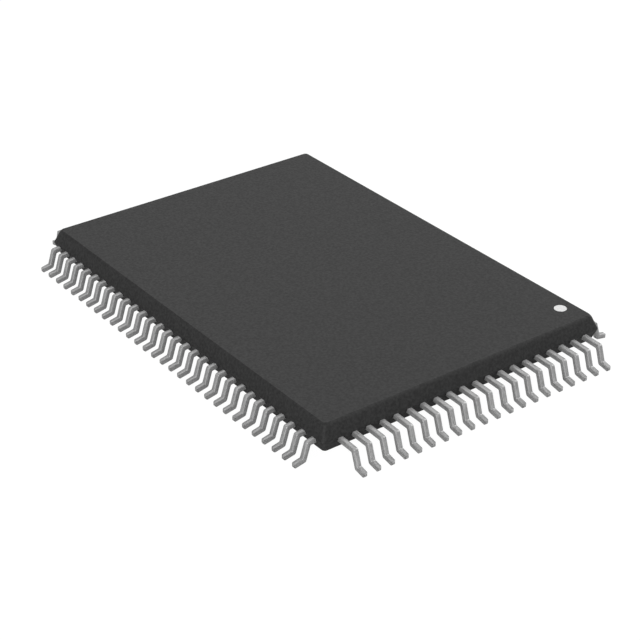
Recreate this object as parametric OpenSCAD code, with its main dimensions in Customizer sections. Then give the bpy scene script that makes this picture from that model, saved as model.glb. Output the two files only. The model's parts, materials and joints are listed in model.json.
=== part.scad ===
// Quad flat pack chip: a thin moulded body with gull-wing leads on all four sides.
// X is the short side and Y the long side. The feet stand on z = 0, and the origin is
// under the middle of the body. Pins count from the marked corner (-X, +Y), down the -X
// side, and on counter-clockwise as seen from above.

/* [Moulded body] */
// Width at the parting line, along X
body_width = 14; // [12:0.25:18]
// Length at the parting line, along Y
body_length = 20; // [18:0.25:24]
// Thickness from the underside to the top face
body_thickness = 1.17; // [1.1:0.01:1.6]
// Height of the underside above the plane that the feet stand on
standoff = 0.45; // [0.35:0.01:0.5]
// Height of the parting line above the plane that the feet stand on
parting_height = 0.98; // [0.98:0.01:1.05]
// How far the top face is set in from the parting line
top_inset = 0.28; // [0.1:0.01:0.4]
// How far the underside is set in from the parting line
bottom_inset = 0.19; // [0.05:0.01:0.3]
// Radius of the four upright corners
corner_radius = 0.15; // [0.1:0.05:0.4]
// Rounding of the rims round the top face and the underside
rim_radius = 0.1; // [0.05:0.01:0.15]

/* [Pin one mark] */
// Radius of the ink dot
mark_radius = 0.265; // [0.15:0.005:0.5]
// Depth of the ink dot in the top face
mark_depth = 0.03; // [0.02:0.01:0.1]
// Distance of the dot's centre from the side of the body
mark_from_side = 0.93; // [0.85:0.01:2]
// Distance of the dot's centre from the end of the body
mark_from_end = 1.37; // [0.85:0.01:2]

/* [Lead frame] */
// Distance from one lead to the next
lead_pitch = 0.65; // [0.5:0.05:0.8]
// Least distance from the middle of a row's last lead to the end of its side of the body
row_margin = 0.55; // [0.5:0.01:0.8]
// Leads in each of the two long rows, or 0 for as many as their side has room for
long_row_leads = 0; // [0:1:30]
// Leads in each of the two short rows, or 0 for as many as their side has room for
short_row_leads = 0; // [0:1:20]
// Width of a lead outside the body
lead_width = 0.2; // [0.15:0.01:0.25]
// Thickness of the sheet that the leads and the die pad are stamped from
sheet_thickness = 0.2; // [0.12:0.01:0.2]
// Height of the middle of the leads where they leave the body
lead_height = 0.87; // [0.8:0.01:0.87]
// How far the toes of the long rows stand out from the parting line
long_row_reach = 0.94; // [0.94:0.02:2]
// How far the toes of the short rows stand out from the parting line
short_row_reach = 1.5; // [0.94:0.02:2]
// Length of a foot, from the leg to the toe
foot_length = 0.45; // [0.35:0.01:0.45]
// How far a leg splays outwards on its way down
leg_splay = 0.215; // [0.1:0.005:0.22]
// Radius of a bend on its outer side
outer_bend_radius = 0.12; // [0.08:0.01:0.14]
// Radius of a bend on its inner side
inner_bend_radius = 0.06; // [0.03:0.01:0.08]

/* [Inside the body] */
// Width of the die pad, along X
pad_width = 6; // [5.6:0.1:6.2]
// Length of the die pad, along Y
pad_length = 12; // [11.6:0.1:12.2]
// How far the die pad is pressed down below the leads
pad_downset = 0.15; // [0.05:0.01:0.18]
// Width of the four tie bars that carry the die pad
tie_bar_width = 0.16; // [0.1:0.01:0.2]
// Distance of a tie bar's end from each side of the body's corner
tie_bar_recess = 0.35; // [0.25:0.01:0.5]
// Level stretch of a tie bar beside the pad, before it climbs
tie_bar_level = 0.3; // [0.1:0.05:0.6]
// Run over which a tie bar climbs to the height of the leads
tie_bar_climb = 0.3; // [0.2:0.05:0.8]
// Straight stretch of a lead inside the body
lead_root = 0.2; // [0.15:0.01:0.25]
// Width of a lead at its inner tip
tip_width = 0.13; // [0.1:0.01:0.15]
// Gap between the inner tips and the die pad
tip_gap = 0.6; // [0.4:0.05:0.7]
// Gap along each row between the last inner tip and the tie bar
tip_corner_gap = 0.43; // [0.4:0.01:0.6]
// Width of the silicon die, along X
die_width = 4.8; // [4:0.1:5.4]
// Length of the silicon die, along Y
die_length = 8; // [7:0.1:11]
// Thickness of the silicon die
die_thickness = 0.25; // [0.15:0.01:0.28]
// Thickness of the adhesive under the die
adhesive_thickness = 0.025; // [0.015:0.005:0.04]
// How far the adhesive is squeezed out past the die
adhesive_margin = 0.1; // [0.05:0.01:0.25]
// Thickness of a bond wire
wire_thickness = 0.03; // [0.02:0.005:0.04]
// How far the middle of each bond ball is from the die's edge
bond_inset = 0.12; // [0.08:0.01:0.3]
// How far the middle of a row's last bond ball is from the die's corner
bond_corner_gap = 0.24; // [0.2:0.01:0.6]
// Radius of a bond ball
ball_radius = 0.045; // [0.03:0.005:0.05]
// Height of a bond ball
ball_height = 0.02; // [0.015:0.005:0.03]
// How far a bond wire rises over its ball
loop_height = 0.12; // [0.08:0.01:0.15]
// Length of the flattened stitch where a wire ends on its lead
stitch_length = 0.1; // [0.06:0.01:0.15]
// How far the stitch is from the lead's inner tip
stitch_setback = 0.12; // [0.1:0.01:0.3]

/* [Hidden] */
row_groups = [6, 4, 6, 4];  // nodes that the leads of each row are shared among
corner_steps = 6;           // facets of one upright corner
rim_steps = 3;              // facets across one rounded rim
bend_steps = 6;             // facets of one bend
mark_sides = 64;
ball_sides = 8;
loop_share = 0.3;           // share of a wire's run that its flat crest takes
overlap = 0.1;              // stretch outside the parting line where a lead's two parts share their section
slack = 1e-6;               // keeps a row that just fills its side from losing a lead to rounding

body_top = standoff + body_thickness;
pad_height = lead_height - pad_downset;
adhesive_base = pad_height + sheet_thickness / 2;
die_base = adhesive_base + adhesive_thickness;
die_top = die_base + die_thickness;
lead_top = lead_height + sheet_thickness / 2;

// The four rows in the order of the pins: -X, -Y, +X, +Y. A row is drawn facing +X and turned.
row_turns = [180, 270, 0, 90];
row_reaches = [long_row_reach, short_row_reach, long_row_reach, short_row_reach];
// Half of each size, first across the row and then along it
function halves(row, width, length) = (row % 2 == 0 ? [width, length] : [length, width]) / 2;
body_halves = [for (row = [0 : 3]) halves(row, body_width, body_length)];
pad_halves = [for (row = [0 : 3]) halves(row, pad_width, pad_length)];
die_halves = [for (row = [0 : 3]) halves(row, die_width, die_length)];

// Leads in each row: the number asked for, or as many as the side has room for
asked_leads = [long_row_leads, short_row_leads, long_row_leads, short_row_leads];
row_leads = [for (row = [0 : 3])
    asked_leads[row] > 0
        ? asked_leads[row]
        : 1 + floor(2 * (body_halves[row][1] - row_margin) / lead_pitch + slack)];

leads_per_node = [for (row = [0 : 3]) ceil(row_leads[row] / row_groups[row])];
// Every node of leads, as its row and the first lead in it
lead_sets = [for (row = [0 : 3]) for (first = [0 : leads_per_node[row] : row_leads[row] - 1]) [row, first]];

function leads_before(row) = row == 0 ? 0 : leads_before(row - 1) + row_leads[row - 1];
function last_in(set) = min(set[1] + leads_per_node[set[0]], row_leads[set[0]]) - 1;
function three_digits(n) = str(n < 100 ? "0" : "", n < 10 ? "0" : "", n);
function pin_range(set) = let (before = leads_before(set[0]))
    str(three_digits(before + set[1] + 1), "_", three_digits(before + last_in(set) + 1));
function leads_name(set) = str("leads_", pin_range(set));
function wires_name(set) = str("bond_wires_", pin_range(set));

// Geometry helpers

function unit(v) = v / norm(v);
function turned(v) = [-v[1], v[0]];

// The outline of a strip that follows a path, with its own width at each point and mitred bends
function strip(path, widths) =
    let (
        last = len(path) - 1,
        side = [for (i = [0 : last])
            let (
                before = unit(path[max(i, 1)] - path[max(i, 1) - 1]),
                after = unit(path[min(i, last - 1) + 1] - path[min(i, last - 1)]),
                across = turned(before) + turned(after)
            )
            across / (1 + before * after) * widths[i] / 2]
    )
    concat([for (i = [0 : last]) path[i] + side[i]], [for (i = [last : -1 : 0]) path[i] - side[i]]);

// The points of an arc that rounds the corner at p between its neighbours a and b
function rounded_corner(a, p, b, radius, steps) =
    let (
        u = unit(a - p),
        v = unit(b - p),
        half = acos(u * v) / 2,
        centre = p + unit(u + v) * radius / sin(half),
        first = p + u * radius / tan(half) - centre,
        start = atan2(first[1], first[0]),
        turn = (u[0] * v[1] - u[1] * v[0] > 0 ? -1 : 1) * (180 - 2 * half)
    )
    [for (k = [0 : steps])
        let (angle = start + turn * k / steps)
        centre + radius * [cos(angle), sin(angle)]];

// An outline with some of its corners rounded, where a radius of 0 leaves the corner sharp
function rounded_outline(points, radii, steps) =
    let (n = len(points))
    [for (i = [0 : n - 1])
        each radii[i] > 0
            ? rounded_corner(points[(i + n - 1) % n], points[i], points[(i + 1) % n], radii[i], steps)
            : [points[i]]];

// A rounded rectangle of points at one height, counter-clockwise from above
function ring(inset, z) =
    let (
        x = body_width / 2 - inset - corner_radius,
        y = body_length / 2 - inset - corner_radius,
        centres = [[x, y], [-x, y], [-x, -y], [x, -y]]
    )
    [for (quarter = [0 : 3]) for (k = [0 : corner_steps])
        let (centre = centres[quarter], angle = 90 * (quarter + k / corner_steps))
        [centre[0] + corner_radius * cos(angle), centre[1] + corner_radius * sin(angle), z]];

// Where things are in a row's own frame: u points out of the body, v along the row

function spread(i, count, half) = (count == 1 ? 0 : (2 * i / (count - 1) - 1)) * half;
function lead_v(row, i) = (i - (row_leads[row] - 1) / 2) * lead_pitch;
function tip_u(row) = pad_halves[row][0] + tip_gap;
function tip_v(row, i) = spread(i, row_leads[row], pad_halves[row][1] + tip_gap - tip_corner_gap);
function root_end(row, i) = [body_halves[row][0] - lead_root, lead_v(row, i)];
function tip(row, i) = [tip_u(row), tip_v(row, i)];
function stitch_point(row, i) =
    tip(row, i) + unit(root_end(row, i) - tip(row, i)) * (stitch_setback + stitch_length / 2);
function ball_point(row, i) = [
    die_halves[row][0] - bond_inset,
    spread(i, row_leads[row], die_halves[row][1] - bond_corner_gap)
];

// Mould compound

// The body's section is drawn as [inset, z], from the underside up to the top face. Its first and
// last points only give the rims a flat to round towards, so they may lie anywhere further in.
module moulded_block() {
    middle = body_width / 4;
    corners = [
        [middle, standoff], [bottom_inset, standoff], [0, parting_height],
        [top_inset, body_top], [middle, body_top]
    ];
    section = rounded_outline(corners, [0, rim_radius, 0, rim_radius, 0], rim_steps);
    levels = [for (k = [1 : len(section) - 2]) ring(section[k][0], section[k][1])];
    around = len(levels[0]);
    points = [for (level = levels) each level];
    faces = concat(
        [[for (k = [0 : around - 1]) k]],
        [for (j = [0 : len(levels) - 2]) for (k = [0 : around - 1])
            let (low = j * around, high = low + around, next = (k + 1) % around)
            [low + k, high + k, high + next, low + next]],
        [[for (k = [around - 1 : -1 : 0]) (len(levels) - 1) * around + k]]
    );
    polyhedron(points, faces);
}

module moulded_body() {
    color([0.27, 0.27, 0.28])
    difference() {
        moulded_block();
        for (row = [0 : 3]) turn_to(row) lead_fingers(row, 0, row_leads[row] - 1);
        for (row = [0 : 3]) turn_to(row) row_of_wires(row, 0, row_leads[row] - 1);
        pad_with_tie_bars();
        adhesive_layer();
        die_block();
        mark_disc();
    }
}

module mark_disc() {
    translate([mark_from_side - body_width / 2, body_length / 2 - mark_from_end, body_top - mark_depth])
        cylinder(r = mark_radius, h = mark_depth, $fn = mark_sides);
}

module pin_one_mark() {
    color([0.93, 0.93, 0.92]) mark_disc();
}

// Lead frame

module turn_to(row) {
    rotate([0, 0, row_turns[row]]) children();
}

// The flat inner part of each lead, which fans in to the die pad
module lead_fingers(row, first, last) {
    translate([0, 0, lead_height - sheet_thickness / 2])
        linear_extrude(sheet_thickness)
        for (i = [first : last])
            polygon(strip(
                [[body_halves[row][0] + overlap, lead_v(row, i)], root_end(row, i), tip(row, i)],
                [lead_width, lead_width, tip_width]
            ));
}

// The bent outer part of each lead: shoulder, leg and foot
module gull_wings(row, first, last) {
    reach = row_reaches[row];
    shoulder = reach - foot_length - leg_splay;
    sole = sheet_thickness / 2;
    path = [[0, lead_height], [shoulder, lead_height], [shoulder + leg_splay, sole], [reach, sole]];
    outline = strip(path, [for (p = path) sheet_thickness]);
    outside = outer_bend_radius;
    inside = inner_bend_radius;
    profile = rounded_outline(outline, [0, outside, inside, 0, 0, outside, inside, 0], bend_steps);
    for (i = [first : last])
        translate([body_halves[row][0], lead_v(row, i) + lead_width / 2, 0])
            rotate([90, 0, 0]) linear_extrude(lead_width) polygon(profile);
}

module leads(set) {
    color([0.7, 0.71, 0.72])
    turn_to(set[0])
        for (i = [set[1] : last_in(set)]) {
            lead_fingers(set[0], i, i);
            gull_wings(set[0], i, i);
        }
}

// A tie bar leaves the pad's corner, climbs to the height of the leads and runs to the body's corner
module tie_bar(side_x, side_y) {
    inner = [side_x * pad_width / 2, side_y * pad_length / 2];
    outer = [
        side_x * (body_width / 2 - tie_bar_recess),
        side_y * (body_length / 2 - tie_bar_recess)
    ];
    run = norm(outer - inner);
    path = [
        [-tie_bar_width, pad_height], [tie_bar_level, pad_height],
        [tie_bar_level + tie_bar_climb, lead_height], [run, lead_height]
    ];
    translate([inner[0], inner[1], 0])
        rotate([0, 0, atan2(outer[1] - inner[1], outer[0] - inner[0])])
        translate([0, tie_bar_width / 2, 0])
        rotate([90, 0, 0])
        linear_extrude(tie_bar_width)
        polygon(strip(path, [for (p = path) sheet_thickness]));
}

module pad_with_tie_bars() {
    translate([-pad_width / 2, -pad_length / 2, pad_height - sheet_thickness / 2])
        cube([pad_width, pad_length, sheet_thickness]);
    for (side_x = [-1, 1], side_y = [-1, 1]) tie_bar(side_x, side_y);
}

module die_pad() {
    color([0.72, 0.46, 0.33]) pad_with_tie_bars();
}

// Die and its bonds

module adhesive_layer() {
    width = die_width + 2 * adhesive_margin;
    length = die_length + 2 * adhesive_margin;
    translate([-width / 2, -length / 2, adhesive_base]) cube([width, length, adhesive_thickness]);
}

module die_adhesive() {
    color([0.62, 0.62, 0.6]) adhesive_layer();
}

module die_block() {
    translate([-die_width / 2, -die_length / 2, die_base]) cube([die_width, die_length, die_thickness]);
}

module silicon_die() {
    color([0.3, 0.33, 0.38]) die_block();
}

// A wire stands on its ball, rises, runs out level and comes down to a flat stitch on the lead
module wire(from, to) {
    run = norm(to - from);
    crest = die_top + ball_height + loop_height;
    rest = lead_top + wire_thickness / 2;
    path = [
        [0, die_top + ball_height / 2], [0, crest], [run * loop_share, crest],
        [run - stitch_length / 2, rest], [run + stitch_length / 2, rest]
    ];
    translate([from[0], from[1], 0])
        rotate([0, 0, atan2(to[1] - from[1], to[0] - from[0])]) {
            translate([0, wire_thickness / 2, 0]) rotate([90, 0, 0])
                linear_extrude(wire_thickness) polygon(strip(path, [for (p = path) wire_thickness]));
            translate([0, 0, die_top]) cylinder(r = ball_radius, h = ball_height, $fn = ball_sides);
        }
}

module row_of_wires(row, first, last) {
    for (i = [first : last]) wire(ball_point(row, i), stitch_point(row, i));
}

module bond_wires(set) {
    color([0.9, 0.74, 0.36]) turn_to(set[0]) row_of_wires(set[0], set[1], last_in(set));
}

moulded_body();
pin_one_mark();
die_pad();
die_adhesive();
silicon_die();
for (set = lead_sets) leads(set);
for (set = lead_sets) bond_wires(set);
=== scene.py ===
import json
import math

import bpy
import numpy as np
from mathutils import Matrix, Vector

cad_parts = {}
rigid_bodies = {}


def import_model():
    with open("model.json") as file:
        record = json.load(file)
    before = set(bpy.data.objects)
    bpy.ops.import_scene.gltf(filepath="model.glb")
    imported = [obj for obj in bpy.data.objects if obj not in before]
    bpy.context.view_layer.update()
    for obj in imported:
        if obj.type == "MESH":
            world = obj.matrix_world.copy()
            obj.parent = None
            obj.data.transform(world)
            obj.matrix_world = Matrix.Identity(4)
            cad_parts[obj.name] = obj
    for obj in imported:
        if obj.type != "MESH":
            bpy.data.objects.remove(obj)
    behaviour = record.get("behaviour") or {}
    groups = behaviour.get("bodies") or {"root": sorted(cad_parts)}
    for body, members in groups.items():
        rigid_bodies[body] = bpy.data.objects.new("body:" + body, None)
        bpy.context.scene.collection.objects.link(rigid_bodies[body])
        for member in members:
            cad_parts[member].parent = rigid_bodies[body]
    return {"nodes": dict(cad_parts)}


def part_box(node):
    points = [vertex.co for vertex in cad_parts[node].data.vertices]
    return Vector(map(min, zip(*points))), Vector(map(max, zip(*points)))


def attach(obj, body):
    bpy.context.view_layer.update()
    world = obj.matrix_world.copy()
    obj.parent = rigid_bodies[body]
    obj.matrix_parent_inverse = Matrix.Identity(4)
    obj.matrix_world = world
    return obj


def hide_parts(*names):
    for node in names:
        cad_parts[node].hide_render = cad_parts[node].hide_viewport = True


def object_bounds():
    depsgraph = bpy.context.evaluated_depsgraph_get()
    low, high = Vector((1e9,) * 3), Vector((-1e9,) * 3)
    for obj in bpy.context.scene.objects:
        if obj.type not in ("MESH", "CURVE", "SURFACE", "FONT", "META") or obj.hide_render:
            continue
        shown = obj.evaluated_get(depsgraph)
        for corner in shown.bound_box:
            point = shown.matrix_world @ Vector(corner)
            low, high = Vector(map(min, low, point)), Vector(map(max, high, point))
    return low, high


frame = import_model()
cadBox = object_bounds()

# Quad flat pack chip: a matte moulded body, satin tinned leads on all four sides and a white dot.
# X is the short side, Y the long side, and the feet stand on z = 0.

mm = 0.001

camera = {
    "azimuth": 143.354, "elevation": 29.993, "roll": -0.045,  # degrees
    "distance": 71.78, "target": (2.205, 3.382, 1.5),         # millimetres
    "lens": 100.1, "sensor": 36.0,
    "clip": (0.001, 10.0),                                    # metres
}

studio = {
    "floorHalf": 600.0,                # millimetres from the middle of the floor to its edge
    "white": 1.03,                     # what the camera and the metal see of the background
    "floorShade": 0.95,                # how light the floor is to the surfaces
    "shadowShare": 0.06,               # how much of the floor's own shade shows through the white
    "metalShare": 0.6,                 # and how much of it the metal sees in its reflections
    "lamps": {                         # azimuth, elevation, distance, side in millimetres, strength
        "key": (118.0, 24.0, 150.0, 90.0, 0.54),
        "front": (143.0, 22.0, 150.0, 90.0, 0.44),
        "near": (42.0, 62.0, 21.0, 12.0, 0.15),
        "side": (260.0, 35.0, 500.0, 300.0, 0.76),
        "back": (323.0, 50.0, 500.0, 300.0, 0.26),
    },
}


# Shader maths: a socket that can be used in Python expressions
class Signal:
    def __init__(self, finish, socket):
        self.finish, self.socket = finish, socket

    def __add__(self, other):
        return self.finish.maths("ADD", self, other)

    def __sub__(self, other):
        return self.finish.maths("SUBTRACT", self, other)

    def __rsub__(self, other):
        return self.finish.maths("SUBTRACT", other, self)

    def __mul__(self, other):
        return self.finish.maths("MULTIPLY", self, other)

    __radd__, __rmul__ = __add__, __mul__


# One node tree, with a method for any node and short ones for what is used often
class Finish:
    def __init__(self, name, tree=None):
        if tree is None:
            self.material = bpy.data.materials.new(name)
            self.material.use_nodes = True
            tree = self.material.node_tree
        self.tree = tree
        self.tree.nodes.clear()

    def node(self, kind, settings=None, sockets=None, out=0):
        made = self.tree.nodes.new(kind)
        for key, value in (settings or {}).items():
            setattr(made, key, value)
        for key, value in (sockets or {}).items():
            if isinstance(value, Signal):
                self.tree.links.new(value.socket, made.inputs[key])
            else:
                made.inputs[key].default_value = value
        return Signal(self, made.outputs[out]) if made.outputs else made

    def maths(self, operation, a, b):
        return self.node("ShaderNodeMath", {"operation": operation}, {0: a, 1: b})

    def place(self, kind="Object"):
        return self.node("ShaderNodeTexCoord", out=kind)

    # the coordinates times one number for each axis
    def scaled(self, vector, by):
        return self.node("ShaderNodeVectorMath", {"operation": "MULTIPLY"}, {0: vector, 1: by})

    # noise from 0 to 1 whose grains are about this many millimetres across
    def grains(self, size, detail=3.0, rough=0.6, vector=None):
        vector = vector or self.scaled(self.place(), (1 / mm,) * 3)
        return self.node("ShaderNodeTexNoise", {}, {
            "Vector": vector, "Scale": 1 / size, "Detail": detail, "Roughness": rough})

    def mixed(self, share, low, high):
        return self.node("ShaderNodeMix", {"data_type": "RGBA"}, {0: share, 6: low, 7: high}, out=2)

    def clamped(self, value, low, high, fromLow=0.0, fromHigh=1.0):
        return self.node("ShaderNodeMapRange", {}, {
            "Value": value, "From Min": fromLow, "From Max": fromHigh, "To Min": low, "To Max": high})

    def bump(self, height, distance, strength):
        return self.node("ShaderNodeBump", {}, {
            "Height": height, "Distance": distance * mm, "Strength": strength})

    def surface(self, sockets):
        shader = self.node("ShaderNodeBsdfPrincipled", {}, sockets)
        self.node("ShaderNodeOutputMaterial", {}, {"Surface": shader})
        return self.material


def grey(value, tint=(1, 1, 1)):
    return tuple(value * t for t in tint) + (1.0,)


# Finishes

# Most values of a noise lie in the wide range. The middle one is stretched more, for more contrast.
wideNoise = (0.3, 0.7)
middleNoise = (0.35, 0.65)

# A bump is the millimetres between a grain and a pit, and the strength of the effect

mouldLook = {
    "dark": 0.002, "light": 0.012,           # between the shades of the filler's grains
    "grain": 0.11, "mottle": 0.9,            # millimetres across a grain and a cloud
    "grainShare": 0.93,                      # the rest of the shade comes from the clouds
    "rough": 0.70, "roughSwing": 0.012,      # the lighter grains are a little smoother
    "specular": 0.24, "bump": (0.014, 0.7),
}


def mouldCompound():
    f = Finish("mouldCompound")
    look = mouldLook
    fine = f.grains(look["grain"], detail=2.0)
    broad = f.grains(look["mottle"], rough=0.55)
    shade = fine * look["grainShare"] + broad * (1 - look["grainShare"])
    share = f.clamped(shade, 0.0, 1.0, *middleNoise)
    return f.surface({
        "Base Color": f.mixed(share, grey(look["dark"]), grey(look["light"])),
        "Roughness": f.clamped(1 - fine, look["rough"] - look["roughSwing"],
                               look["rough"] + look["roughSwing"], *wideNoise),
        "Specular IOR Level": look["specular"],
        "Normal": f.bump(fine, *look["bump"]),
    })


leadLook = {
    "dark": 0.16, "light": 0.29, "metallic": 0.6,
    "rough": 0.52, "roughSwing": 0.07, "bump": (0.004, 0.5),
    "stretch": (0.5, 7.0, 1.0),              # makes the noise long and narrow
    "line": 0.25, "plating": 0.08,           # size of a line before it is drawn out, and of a grain
    "lineShare": 0.65,                       # the rest of the shade comes from the plating's grains
}


# Fine lines run along each lead: the noise is stretched along the piece's own length coordinate
def tinnedLead():
    f = Finish("tinnedLead")
    look = leadLook
    along = f.scaled(f.place("UV"), look["stretch"])
    lines = f.grains(look["line"], vector=along)
    plating = f.grains(look["plating"])
    shade = lines * look["lineShare"] + plating * (1 - look["lineShare"])
    share = f.clamped(shade, 0.0, 1.0, *middleNoise)
    return f.surface({
        "Base Color": f.mixed(share, grey(look["dark"]), grey(look["light"])),
        "Metallic": look["metallic"],
        "Roughness": f.clamped(plating, look["rough"] - look["roughSwing"],
                               look["rough"] + look["roughSwing"], *wideNoise),
        "Normal": f.bump(lines, *look["bump"]),
    })


inkLook = {
    "dark": 0.52, "light": 0.60, "smooth": 0.45, "rough": 0.65,
    "fleck": 0.06, "bump": (0.003, 0.4),     # millimetres across a fleck
}


def whiteInk():
    f = Finish("whiteInk")
    look = inkLook
    fleck = f.grains(look["fleck"])
    share = f.clamped(fleck, 0.0, 1.0, *wideNoise)
    return f.surface({
        "Base Color": f.mixed(share, grey(look["dark"]), grey(look["light"])),
        "Roughness": f.clamped(fleck, look["smooth"], look["rough"], *wideNoise),
        "Normal": f.bump(fleck, *look["bump"]),
    })


# Rolled metal: the noise is drawn out along Y, the rolling direction
rolledLook = {
    "grain": 0.1, "draw": 0.08,              # millimetres across a grain, and what Y is scaled by
    "cloud": 1.5, "grainShare": 0.6,         # the rest of the shade comes from the clouds
    "roughSwing": 0.06, "bump": (0.002, 0.4),
}


def rolledMetal(name, dark, light, rough):
    f = Finish(name)
    look = rolledLook
    drawn = f.scaled(f.place(), (1 / mm, look["draw"] / mm, 1 / mm))
    rolled = f.grains(look["grain"], vector=drawn)
    cloudy = f.grains(look["cloud"])
    shade = rolled * look["grainShare"] + cloudy * (1 - look["grainShare"])
    share = f.clamped(shade, 0.0, 1.0, *wideNoise)
    return f.surface({
        "Base Color": f.mixed(share, dark, light),
        "Metallic": 1.0,
        "Roughness": f.clamped(rolled, rough - look["roughSwing"],
                               rough + look["roughSwing"], *wideNoise),
        "Normal": f.bump(rolled, *look["bump"]),
    })


# Silver flakes in resin: the lighter a spot is, the more of it is metal
adhesiveLook = {
    "resin": 0.38, "flake": 0.62, "flakeSize": 0.03,
    "metallic": (0.2, 0.9), "rough": 0.45, "bump": (0.003, 0.5),
}


def silverAdhesive():
    f = Finish("silverAdhesive")
    look = adhesiveLook
    flakes = f.grains(look["flakeSize"], detail=2.0, rough=0.7)
    share = f.clamped(flakes, 0.0, 1.0, *middleNoise)
    return f.surface({
        "Base Color": f.mixed(share, grey(look["resin"]), grey(look["flake"])),
        "Metallic": f.clamped(flakes, *look["metallic"], *middleNoise),
        "Roughness": look["rough"],
        "Normal": f.bump(flakes, *look["bump"]),
    })


# The die's face: blocks of circuit in slightly different greys, with fine lines inside each block
siliconLook = {
    "dark": grey(0.11, (0.9, 1, 1.25)), "light": grey(0.19, (0.95, 1, 1.1)), "street": grey(0.3),
    "block": (0.9, 0.55), "gap": 0.02,       # millimetres
    "offset": 0.35,                          # how far each row is shifted, as a share of a block
    "line": grey(0.3, (1, 0.97, 0.9)), "lineScale": 8.0, "lineShare": 0.35,
    "rough": (0.12, 0.22), "bump": (0.0005, 0.3),
}


def patternedSilicon():
    f = Finish("patternedSilicon")
    look = siliconLook
    plan = f.scaled(f.place(), (1 / mm, 1 / mm, 0.0))
    blocks = f.node("ShaderNodeTexBrick", {"offset": look["offset"]}, {
        "Vector": plan, "Color1": look["dark"], "Color2": look["light"], "Mortar": look["street"],
        "Scale": 1.0, "Mortar Size": look["gap"],
        "Brick Width": look["block"][0], "Row Height": look["block"][1]})
    lines = f.node("ShaderNodeTexWave", {"bands_direction": "Y"}, {
        "Vector": plan, "Scale": look["lineScale"]}, out="Fac")
    return f.surface({
        "Base Color": f.mixed(lines * look["lineShare"], blocks, look["line"]),
        "Roughness": f.clamped(lines, *look["rough"]),
        "Normal": f.bump(lines, *look["bump"]),
    })


finishes = {
    "mould_compound": mouldCompound(),
    "tinned_lead": tinnedLead(),
    "white_ink": whiteInk(),
    "bare_copper": rolledMetal("bareCopper", (0.60, 0.33, 0.22, 1), (0.78, 0.47, 0.33, 1), 0.35),
    "silver_adhesive": silverAdhesive(),
    "silicon": patternedSilicon(),
    "gold_wire": rolledMetal("goldWire", (0.76, 0.54, 0.20, 1), (0.88, 0.67, 0.30, 1), 0.22),
}
print("finishes:", len(finishes))


# Mesh helpers

# A closed surface from grids of points, (pieces, rings, points in a ring, 3) in millimetres: each
# ring is joined to the next one and the first and last rings are filled. The normals are exact.
def ringMesh(name, points, normals, uv=None):
    pieces, rings, around, _ = points.shape
    base = (np.arange(pieces) * rings * around)[:, None, None]
    ring = (np.arange(rings - 1) * around)[None, :, None]
    at = np.arange(around)
    after = (at + 1) % around
    quads = np.stack([base + ring + at, base + ring + after, base + ring + around + after,
                      base + ring + around + at], axis=-1).reshape(-1, 4)
    firsts = (base[:, 0] + at[::-1]).tolist()
    lasts = (base[:, 0] + (rings - 1) * around + at).tolist()
    mesh = bpy.data.meshes.new(name)
    mesh.from_pydata((points.reshape(-1, 3) * mm).tolist(), [], quads.tolist() + firsts + lasts)
    mesh.polygons.foreach_set("use_smooth", np.ones(len(mesh.polygons), bool))
    if uv is not None:
        corners = np.empty(len(mesh.loops), int)
        mesh.loops.foreach_get("vertex_index", corners)
        layer = mesh.uv_layers.new(name="length")
        layer.data.foreach_set("uv", uv.reshape(-1, 2)[corners].ravel())
    # the quads take the exact normals of their points, and the filled ends lie flat
    given = normals.reshape(-1, 3)
    cornerNormals = given[np.array(quads).ravel()]
    flat = np.empty(len(mesh.polygons) * 3)
    mesh.polygons.foreach_get("normal", flat)
    flat = flat.reshape(-1, 3)[len(quads):]
    allNormals = np.vstack([cornerNormals, np.repeat(flat, around, axis=0)])
    mesh.normals_split_custom_set(allNormals.tolist())
    piece = bpy.data.objects.new(name, mesh)
    bpy.context.scene.collection.objects.link(piece)
    return piece


# The points of an arc of this radius that rounds the corner p on the way from a to b, and the
# directions square to it, on the left of that way
def roundedCorner(a, p, b, radius, steps):
    u, v = (a - p) / np.linalg.norm(a - p), (b - p) / np.linalg.norm(b - p)
    half = math.acos(float(u @ v)) / 2
    centre = p + (u + v) / np.linalg.norm(u + v) * radius / math.sin(half)
    first = (p + u * radius / math.tan(half) - centre) / radius
    turn = math.copysign(math.pi - 2 * half, -(u[0] * v[1] - u[1] * v[0]))
    angle = math.atan2(first[1], first[0]) + np.linspace(0, turn, steps + 1)
    out = np.stack([np.cos(angle), np.sin(angle)], axis=-1)
    return centre + radius * out, -math.copysign(1, turn) * out


# Moulded body

bodyLow, bodyHigh = (np.array(corner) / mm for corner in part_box("moulded_body"))
mould = {
    "width": bodyHigh[0] - bodyLow[0], "length": bodyHigh[1] - bodyLow[1],
    "underside": bodyLow[2], "top": bodyHigh[2],
    "parting": 0.98, "topInset": 0.29, "bottomInset": 0.19,
    "easeAcross": 0.07, "easeDown": 0.065,      # just under the top's rim the flank leans in more
    "cornerRadius": 0.15, "cornerSteps": 16,    # the upright corners
    "underRadius": 0.05, "underSteps": 6,       # the rims of the section, from the underside up
    "partingRadius": 0.02, "partingSteps": 3,
    "easeRadius": 0.37, "easeSteps": 12,
    "topRadius": 0.015, "topSteps": 3,
}


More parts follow.
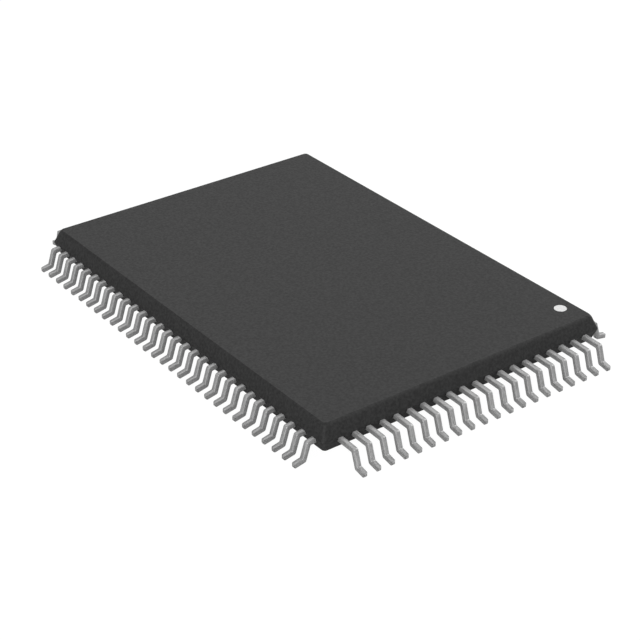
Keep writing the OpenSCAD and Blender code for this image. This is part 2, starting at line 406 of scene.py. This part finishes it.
# A section of [inset, height] goes round a rounded rectangle. At a corner the rectangle's four
# arcs keep their radius and their centres move in, so the normal is (x z', y z', i' (|x| + |y|))
# for the outward direction (x, y) and the section's direction (i', z').
def makeMould(m):
    deep = m["width"] / 4               # only gives the outer rims a flat to round towards
    corners = np.array([
        [deep, m["underside"]], [m["bottomInset"], m["underside"]], [0, m["parting"]],
        [m["topInset"] - m["easeAcross"], m["top"] - m["easeDown"]],
        [m["topInset"], m["top"]], [deep, m["top"]]])
    parts = [roundedCorner(*corners[k:k + 3], m[rim + "Radius"], m[rim + "Steps"])
             for k, rim in enumerate(("under", "parting", "ease", "top"))]
    section = np.vstack([part[0] for part in parts])
    outward = np.vstack([part[1] for part in parts])
    quarter = np.linspace(0, math.pi / 2, m["cornerSteps"] + 1)
    angle = (np.arange(4)[:, None] * math.pi / 2 + quarter).ravel()
    side = np.stack([np.cos(angle), np.sin(angle)], axis=-1)
    sign = np.repeat([[1, 1], [-1, 1], [-1, -1], [1, -1]], len(quarter), axis=0)
    half = np.array([m["width"], m["length"]]) / 2 - m["cornerRadius"]
    plan = sign * (half - section[:, None, :1]) + m["cornerRadius"] * side
    height = np.broadcast_to(section[:, None, 1:], plan.shape[:2] + (1,))
    points = np.concatenate([plan, height], axis=-1)
    lean = outward[:, None, :]          # towards the inset, so minus this is outwards, and upwards
    reach = np.abs(side).sum(axis=-1, keepdims=True)
    normals = np.concatenate([side * -lean[..., :1], lean[..., 1:] * reach], axis=-1)
    normals /= np.linalg.norm(normals, axis=-1, keepdims=True)
    return ringMesh("moulded_shell", points[None], normals[None])


mouldPiece = makeMould(mould)
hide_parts("moulded_body")
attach(mouldPiece, "root")
mouldPiece.data.materials.append(finishes["mould_compound"])
print("moulded body:", len(mouldPiece.data.polygons), "faces")


# Leads

lead = {
    "rows": (30, 20, 30, 20),          # leads in the rows -X, -Y, +X, +Y, in the order of the pins
    "turns": (180, 270, 0, 90),        # degrees from a row that points along +X
    "pitch": 0.65, "width": 0.2, "sheet": 0.2, "height": 0.87,
    "foot": 0.45, "splay": 0.215, "outerBend": 0.10, "innerBend": 0.05,
    "droop": 0.03,                     # how far the shoulder sinks on its way out
    "heelRise": 0.08,                  # and the foot from its heel to its toe
    "padHalf": (3.0, 6.0),             # half of the die pad in X and in Y
    "root": 0.2,                       # from the body's side in to where the fingers start to fan
    "tipWidth": 0.13, "tipGap": 0.6, "cornerGap": 0.43,     # at the die pad
    "edgeRadius": 0.02, "edgeSteps": 3, "bendSteps": 6,
    "toeRadius": 0.055, "toeSteps": 3,
    "crown": 18.0,                     # degrees that the normals of a face lean towards its edges
    "mapShift": 7.0,                   # millimetres between the starts of two leads in the UV map
}
partHigh = np.array(cadBox[1]) / mm


# Of a row: the body's half across it, the toes' reach, and the die pad's half across and along it
def rowSizes(row, s):
    axis = row % 2                     # 0 where the row's leads point along X, 1 along Y
    reach = partHigh[axis] - bodyHigh[axis]
    return bodyHigh[axis], reach, s["padHalf"][axis], s["padHalf"][1 - axis]


# The side view of a lead outside the body, as matched points on its upper and lower faces with
# their normals, from the parting line to the toe
def wingProfile(reach, s):
    half = s["sheet"] / 2
    shoulder = reach - s["foot"] - s["splay"]
    path = np.array([[0, s["height"]], [shoulder, s["height"] - s["droop"]],
                     [shoulder + s["splay"], half + s["heelRise"]], [reach, half]])
    run = np.diff(path, axis=0)
    run /= np.linalg.norm(run, axis=1)[:, None]
    up = np.stack([-run[:, 1], run[:, 0]], axis=-1)
    between = (up[:-1] + up[1:]) / (1 + (up[:-1] * up[1:]).sum(1))[:, None]
    mitre = np.vstack([up[:1], between, up[-1:]])
    bends = (s["outerBend"], s["innerBend"])
    faces = []
    for sign, radii in ((1, bends), (-1, bends[::-1])):
        edge = path + sign * half * mitre
        arcs = [roundedCorner(*edge[k:k + 3], radii[k], s["bendSteps"]) for k in (0, 1)]
        points = np.vstack([edge[:1], arcs[0][0], arcs[1][0], edge[-1:]])
        faces.append((points, sign * np.vstack([up[:1], arcs[0][1], arcs[1][1], up[-1:]])))
    return faces


# The whole side view, with the finger inside the body put before it and the toe rounded off: the
# last rings are drawn in by the toe's radius times 1 - cos and set back by it times 1 - sin. Gives
# the upper and lower faces, their normals and how far each ring is drawn in.
def leadProfile(leadIn, reach, s):
    (upper, upperOut), (lower, lowerOut) = wingProfile(reach, s)
    turn = np.linspace(0, math.pi / 2, s["toeSteps"] + 1)
    toe = reach - s["toeRadius"] * (1 - np.sin(turn))
    draw = s["toeRadius"] * (1 - np.cos(turn))
    inner = np.stack([leadIn, np.full(len(leadIn), s["height"])], axis=-1)
    flat = np.array([0.0, s["sheet"] / 2])
    up = np.array([[0.0, 1.0]])
    first, last = up.repeat(len(inner), axis=0), up.repeat(len(toe), axis=0)
    drawn = np.concatenate([np.zeros(len(inner) + len(upper) - 1), draw])
    upper = np.vstack([inner + flat, upper[:-1], np.stack([toe, s["sheet"] - draw], axis=-1)])
    lower = np.vstack([inner - flat, lower[:-1], np.stack([toe, draw], axis=-1)])
    upperOut = np.vstack([first, upperOut[:-1], last])
    lowerOut = np.vstack([-first, lowerOut[:-1], -last])
    return upper, upperOut, lower, lowerOut, drawn


# Cosines and sines of the angles round the four edges of a section, each edge met in turn
def roundEdges(angles, sides):
    there = np.concatenate([angles, angles[::-1], angles, angles[::-1]])
    return np.cos(there) * sides, np.sin(there)


# All the leads of a node: a rounded oblong section is carried from the inner tip out to the toe.
# A point is the upper or lower face's point, less the edge radius along the face's normal, plus
# the rest of the width across, plus the edge radius in the direction of the rounded edge.
def makeLeads(name, row, numbers, s):
    bodyHalf, reach, padAcross, padAlong = rowSizes(row, s)
    count = s["rows"][row]
    v = (numbers - (count - 1) / 2) * s["pitch"]
    tipV = (2 * numbers / (count - 1) - 1) * (padAlong + s["tipGap"] - s["cornerGap"])
    tipU, rootU = padAcross + s["tipGap"], bodyHalf - s["root"]
    leadIn = [tipU - bodyHalf, rootU - bodyHalf]
    upper, upperOut, lower, lowerOut, drawn = leadProfile(leadIn, reach, s)
    stations = len(upper)
    width = np.full(stations, s["width"])
    width[0] = s["tipWidth"]
    width = width - 2 * drawn
    # across the lead in plan: square to the fanning finger at its tip, and mitred at the root
    finger = np.stack([np.full(len(v), rootU - tipU), v - tipV], axis=-1)
    finger /= np.linalg.norm(finger, axis=1)[:, None]
    acrossTip = np.stack([-finger[:, 1], finger[:, 0]], axis=-1)
    straight = np.array([0.0, 1.0])
    acrossRoot = (acrossTip + straight) / (1 + acrossTip @ straight)[:, None]
    across = np.broadcast_to(straight, (len(v), stations, 2)).copy()
    across[:, 0], across[:, 1] = acrossTip, acrossRoot
    along = np.broadcast_to(v[:, None], (len(v), stations)).copy()
    along[:, 0] = tipV
    # the section: four rounded edges, each with its side of the width and its face
    r = s["edgeRadius"]
    theta = np.linspace(0, math.pi / 2, s["edgeSteps"] + 1)
    sides = np.repeat([1, -1, -1, 1], len(theta))
    tops = np.repeat([1, 1, 0, 0], len(theta))
    out, lift = roundEdges(theta, sides)
    # the plating crowns the faces, so their normals already lean where the edges start
    crown = math.radians(s["crown"])
    lean = np.linspace(crown, math.pi / 2 - crown, s["edgeSteps"] + 1)
    leanOut, leanUp = roundEdges(lean, sides)
    face = np.where(tops[:, None, None], upper, lower)          # (points, stations, 2)
    faceOut = np.where(tops[:, None, None], upperOut, lowerOut)
    profile = face + faceOut * (r * (lift - 1))[:, None, None]
    sideways = (width / 2 - r) * sides[:, None] + (r * out)[:, None]
    # in the row's own frame: u out of the body, w along the row, z up
    u = bodyHalf + profile[..., 0].T[None] + across[:, :, None, 0] * sideways.T[None]
    w = along[:, :, None] + across[:, :, None, 1] * sideways.T[None]
    z = np.broadcast_to(profile[..., 1].T[None], u.shape)
    normalU = across[:, :, None, 0] * leanOut + (faceOut[..., 0] * leanUp[:, None]).T[None]
    normalW = across[:, :, None, 1] * leanOut + 0 * normalU
    normalZ = np.broadcast_to((faceOut[..., 1] * leanUp[:, None]).T[None], u.shape)
    turn = math.radians(s["turns"][row])
    c, d = math.cos(turn), math.sin(turn)
    points = np.stack([u * c - w * d, u * d + w * c, z], axis=-1)
    normals = np.stack([normalU * c - normalW * d, normalU * d + normalW * c, normalZ], axis=-1)
    normals /= np.linalg.norm(normals, axis=-1, keepdims=True)
    # the map: millimetres along the lead, shifted for each one so that no two look alike
    step = np.linalg.norm(np.diff((upper + lower) / 2, axis=0), axis=1)
    length = np.concatenate([[0], np.cumsum(step)])
    uv = np.stack(np.broadcast_arrays(
        length[None, :, None] + s["mapShift"] * numbers[:, None, None],
        np.linspace(0, 1, len(sides))[None, None, :]), axis=-1)
    return ringMesh(name, points, normals, uv)


firstPins = np.concatenate([[0], np.cumsum(lead["rows"])])
leadNodes = sorted(n for n in frame["nodes"] if n.startswith("leads_"))
for node in leadNodes:
    first, last = (int(n) - 1 for n in node.split("_")[1:])
    row = int(np.searchsorted(firstPins, first, side="right")) - 1
    numbers = np.arange(first, last + 1) - firstPins[row]
    piece = makeLeads("formed_" + node, row, numbers.astype(float), lead)
    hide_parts(node)
    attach(piece, "root")
    piece.data.materials.append(finishes["tinned_lead"])
print("leads:", len(leadNodes), "pieces,", len(piece.data.polygons), "faces each")


# Pin one mark: a film of ink whose rim falls away, a little proud of the moulded face

dotLow, dotHigh = (np.array(corner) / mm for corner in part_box("pin_one_mark"))
ink = {
    "proud": 0.006, "depth": 0.01,     # above the moulded face, and down into it
    "rim": 0.02, "rimSteps": 4, "around": 48,
}


# Height falls from the crown to the face over the rim as a quarter of a circle
def makeDot(s):
    radius = (dotHigh[0] - dotLow[0]) / 2
    centre = (dotLow + dotHigh) / 2
    fall = np.linspace(0, math.pi / 2, s["rimSteps"] + 1)
    radii = np.concatenate([[radius], radius - s["rim"] * (1 - np.cos(fall))])
    heights = np.concatenate([[-s["depth"]], s["proud"] * np.sin(fall)]) + dotHigh[2]
    leanOut = np.concatenate([[1], np.cos(fall) / s["rim"] * s["proud"]])
    leanUp = np.concatenate([[0], np.sin(fall)])
    angle = np.arange(s["around"]) * 2 * math.pi / s["around"]
    way = np.stack([np.cos(angle), np.sin(angle)], axis=-1)
    plan = centre[:2] + radii[:, None, None] * way
    one = plan.shape[:2] + (1,)
    points = np.concatenate([plan, np.broadcast_to(heights[:, None, None], one)], axis=-1)
    up = np.broadcast_to(leanUp[:, None, None], one)
    normals = np.concatenate([way * leanOut[:, None, None], up], axis=-1)
    normals /= np.linalg.norm(normals, axis=-1, keepdims=True)
    return ringMesh("ink_dot", points[None], normals[None])


dotPiece = makeDot(ink)
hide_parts("pin_one_mark")
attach(dotPiece, "root")
dotPiece.data.materials.append(finishes["white_ink"])
print("pin one mark:", len(dotPiece.data.polygons), "faces")


# What the body hides keeps its own shape and takes its finish
inside = {"die_pad": "bare_copper", "die_adhesive": "silver_adhesive", "silicon_die": "silicon"}
inside.update({n: "gold_wire" for n in frame["nodes"] if n.startswith("bond_wires_")})
for node, slot in inside.items():
    held = frame["nodes"][node]
    held.data.materials.clear()
    held.data.materials.append(finishes[slot])
print("inner pieces:", len(inside))


# Studio

def direction(azimuth, elevation):
    a, e = math.radians(azimuth), math.radians(elevation)
    return Vector((math.sin(a) * math.cos(e), -math.cos(a) * math.cos(e), math.sin(e)))


def makeFloor(s):
    half = s["floorHalf"] * mm
    mesh = bpy.data.meshes.new("floor")
    corners = [(-half, -half, 0), (half, -half, 0), (half, half, 0), (-half, half, 0)]
    mesh.from_pydata(corners, [], [(0, 1, 2, 3)])
    floor = bpy.data.objects.new("floor", mesh)
    bpy.context.scene.collection.objects.link(floor)
    # the eye sees white with a trace of the floor's own shade, and from below the floor is clear
    f = Finish("paleFloor")
    shade = f.node("ShaderNodeBsdfDiffuse", {}, {"Color": grey(s["floorShade"])})
    rest = 1 - s["shadowShare"]
    strength = (s["white"] - s["shadowShare"] * s["floorShade"]) / rest
    glow = f.node("ShaderNodeEmission", {}, {"Color": grey(1.0), "Strength": strength})
    eye = f.node("ShaderNodeLightPath", out="Is Camera Ray")
    glossy = f.node("ShaderNodeLightPath", out="Is Glossy Ray")
    through = f.node("ShaderNodeLightPath", out="Is Transmission Ray")
    share = eye * rest + (glossy + through) * (1 - s["metalShare"])
    lit = f.node("ShaderNodeMixShader", {}, {0: share, 1: shade, 2: glow})
    clear = f.node("ShaderNodeBsdfTransparent")
    under = f.node("ShaderNodeNewGeometry", out="Backfacing")
    f.node("ShaderNodeOutputMaterial", {}, {
        "Surface": f.node("ShaderNodeMixShader", {}, {0: under, 1: lit, 2: clear})})
    mesh.materials.append(f.material)


# White to the camera and to metal or glass, and dark to everything else
def makeWorld(s):
    world = bpy.data.worlds.new("studio")
    world.use_nodes = True
    bpy.context.scene.world = world
    f = Finish("studio", world.node_tree)
    eye = f.node("ShaderNodeLightPath", out="Is Camera Ray")
    glossy = f.node("ShaderNodeLightPath", out="Is Glossy Ray")
    through = f.node("ShaderNodeLightPath", out="Is Transmission Ray")
    seen = f.maths("MINIMUM", eye + glossy + through, 1.0)
    f.node("ShaderNodeOutputWorld", {}, {
        "Surface": f.node("ShaderNodeBackground", {}, {
            "Color": grey(1.0), "Strength": seen * s["white"]})})


# A square lamp that faces the middle of the part. Strength is the light that it brings there,
# as a share of what shows a colour as it is written: pi times the share is the flux per area.
def makeLamp(name, azimuth, elevation, distance, side, strength):
    data = bpy.data.lights.new(name, "AREA")
    data.shape, data.size = "SQUARE", side * mm
    data.energy = strength * math.pi * 4 * (distance * mm) ** 2
    way = direction(azimuth, elevation)
    lamp = bpy.data.objects.new(name, data)
    lamp.location = Vector((0, 0, mm)) + way * distance * mm
    lamp.rotation_euler = way.to_track_quat("Z", "Y").to_euler()
    bpy.context.scene.collection.objects.link(lamp)


def makeCamera(s):
    data = bpy.data.cameras.new("camera")
    data.sensor_fit, data.sensor_width, data.lens = "HORIZONTAL", s["sensor"], s["lens"]
    data.clip_start, data.clip_end = s["clip"]
    back = direction(s["azimuth"], s["elevation"])
    right = Vector((0, 0, 1)).cross(back).normalized()
    above = back.cross(right)
    roll = math.radians(s["roll"])
    right, above = (right * math.cos(roll) + above * math.sin(roll),
                    above * math.cos(roll) - right * math.sin(roll))
    turned = Matrix((right, above, back)).transposed().to_4x4()
    eye = bpy.data.objects.new("camera", data)
    place = (Vector(s["target"]) + back * s["distance"]) * mm
    eye.matrix_world = Matrix.Translation(place) @ turned
    bpy.context.scene.collection.objects.link(eye)
    bpy.context.scene.camera = eye


makeFloor(studio)
makeWorld(studio)
for name, settings in studio["lamps"].items():
    makeLamp(name, *settings)
makeCamera(camera)
bpy.context.scene.view_settings.view_transform = "Standard"
print("studio: camera, floor, world and", len(studio["lamps"]), "lamps")
